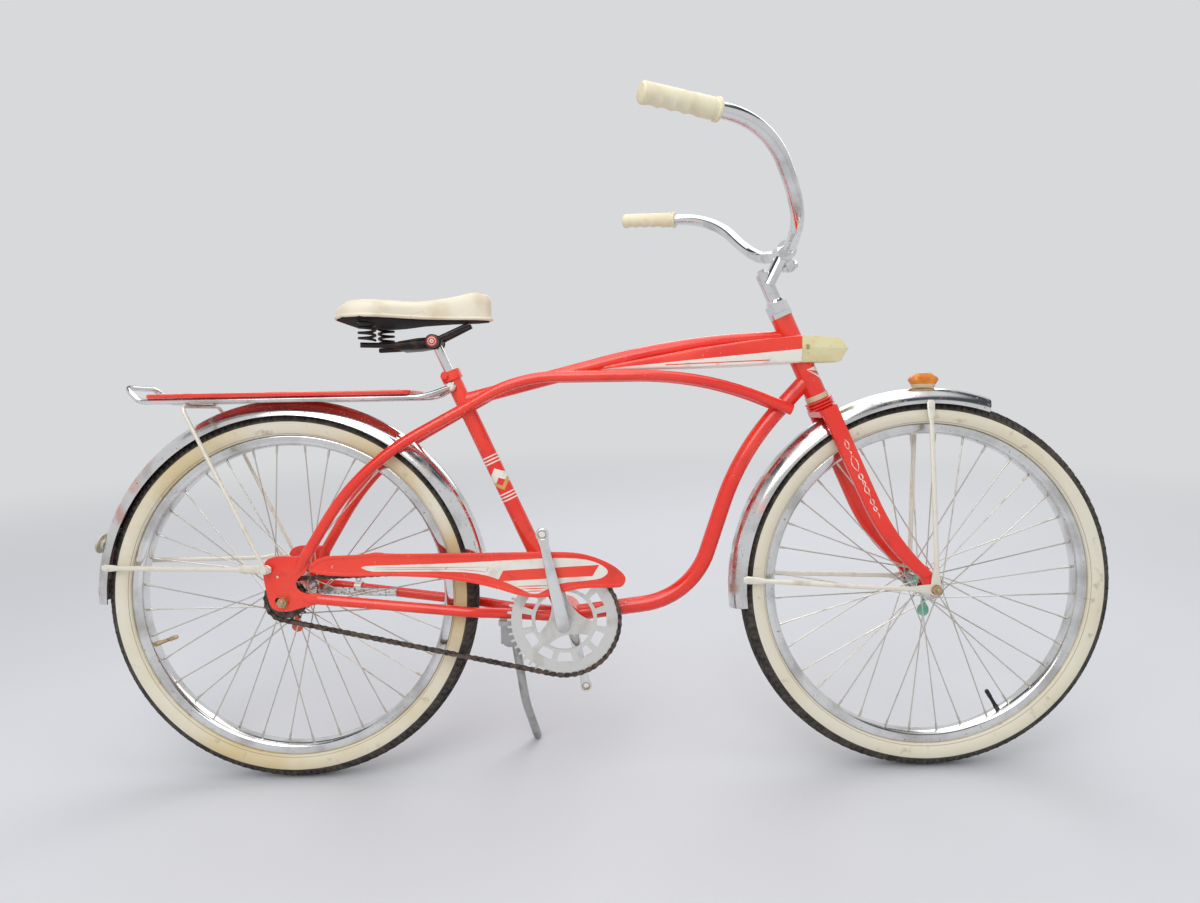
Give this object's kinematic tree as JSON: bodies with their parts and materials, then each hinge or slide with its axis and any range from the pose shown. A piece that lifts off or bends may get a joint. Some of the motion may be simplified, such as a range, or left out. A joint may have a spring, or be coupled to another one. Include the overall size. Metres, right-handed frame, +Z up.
{
  "type": "bicycle",
  "caption": "Balloon-tyred cruiser bicycle with a cantilever frame, tank, rack, fenders, sprung saddle, coaster hub and side stand, parked on the stand.",
  "frame": {"origin": "on the ground under the middle of the parked bicycle's bounding box", "axes": "+X the way it rides, +Y to the rider's left, +Z up; it leans to its left on the stand"},
  "size_m": [1.8122, 0.7352, 1.1077],
  "materials": {
    "red_paint": "gloss red enamel, worn",
    "chrome": "bright plate with light pitting",
    "plain_steel": "dull zinc plate",
    "dark_steel": "oily dark steel with rust",
    "cast_alloy": "as cast",
    "tyre": "black tread with an aged cream side wall",
    "cream_plastic": "aged cream",
    "cream_vinyl": "cream vinyl",
    "cream_rubber": "cream moulded rubber",
    "amber_plastic": "amber lens",
    "clear_plastic": "clear lens"
  },
  "bodies": {
    "frame": {"head_tube": "red_paint", "headset_cups": "chrome", "bottom_bracket": "red_paint", "seat_tube": "red_paint", "top_tube": "red_paint", "down_tube": "red_paint", "side_tube_left": "red_paint", "side_tube_right": "red_paint", "chainstay_left": "red_paint", "chainstay_right": "red_paint", "dropout_left": "red_paint", "dropout_right": "red_paint", "rear_axle": "plain_steel", "rear_cog": "dark_steel", "chain": "dark_steel", "rear_fender": "chrome", "rear_fender_stays": "plain_steel", "rack_frame": "chrome", "rack_deck": "red_paint", "rack_strut": "chrome", "tank": "red_paint", "headlamp": "cream_plastic", "seat_clamp": "chrome", "seat_post": "chrome", "saddle_cover": "cream_vinyl", "saddle_pan": "dark_steel", "saddle_springs": "dark_steel", "saddle_rails": "plain_steel", "saddle_clamp": "plain_steel", "chain_guard": "red_paint", "rear_reflector": "clear_plastic", "brake_arm": "plain_steel", "stand_bracket": "cast_alloy"},
    "steering": {"fork": "red_paint", "headset_locknut": "chrome", "stem": "chrome", "handlebar": "chrome", "grip_left": "cream_rubber", "grip_right": "cream_rubber", "front_fender": "chrome", "front_fender_stays": "plain_steel", "front_reflector": "amber_plastic", "front_axle": "plain_steel"},
    "front_wheel": {"front_tyre": "tyre", "front_rim": "chrome", "front_spokes": "plain_steel", "front_hub": "chrome"},
    "rear_wheel": {"rear_tyre": "tyre", "rear_rim": "chrome", "rear_spokes": "plain_steel", "rear_hub": "chrome"},
    "crank": {"crank_axle": "chrome", "crank_arm_right": "chrome", "crank_arm_left": "chrome", "chainring": "chrome"},
    "stand": {"stand_leg": "plain_steel"}
  },
  "joints": [
    {"name": "steering", "type": "hinge", "parent": "frame", "child": "steering", "pos_m": [0.53358, -0.06405, 0.32884], "axis": [-0.3987, 0.0799, 0.9136], "range_deg": [-60, 60]},
    {"name": "front_wheel_spin", "type": "hinge", "parent": "steering", "child": "front_wheel", "pos_m": [0.57612, -0.06405, 0.32884], "axis": [0, 0.9962, -0.0872], "continuous": true},
    {"name": "rear_wheel_spin", "type": "hinge", "parent": "frame", "child": "rear_wheel", "pos_m": [-0.55088, -0.06405, 0.32884], "axis": [0, 0.9962, -0.0872], "continuous": true},
    {"name": "crank_spin", "type": "hinge", "parent": "frame", "child": "crank", "pos_m": [-0.06783, -0.06797, 0.28401], "axis": [0, 0.9962, -0.0872], "continuous": true},
    {"name": "stand_fold", "type": "hinge", "parent": "frame", "child": "stand", "pos_m": [-0.16683, -0.02555, 0.24115], "axis": [0.1301, 0.9655, 0.2255], "range_deg": [0, 102]}
  ]
}
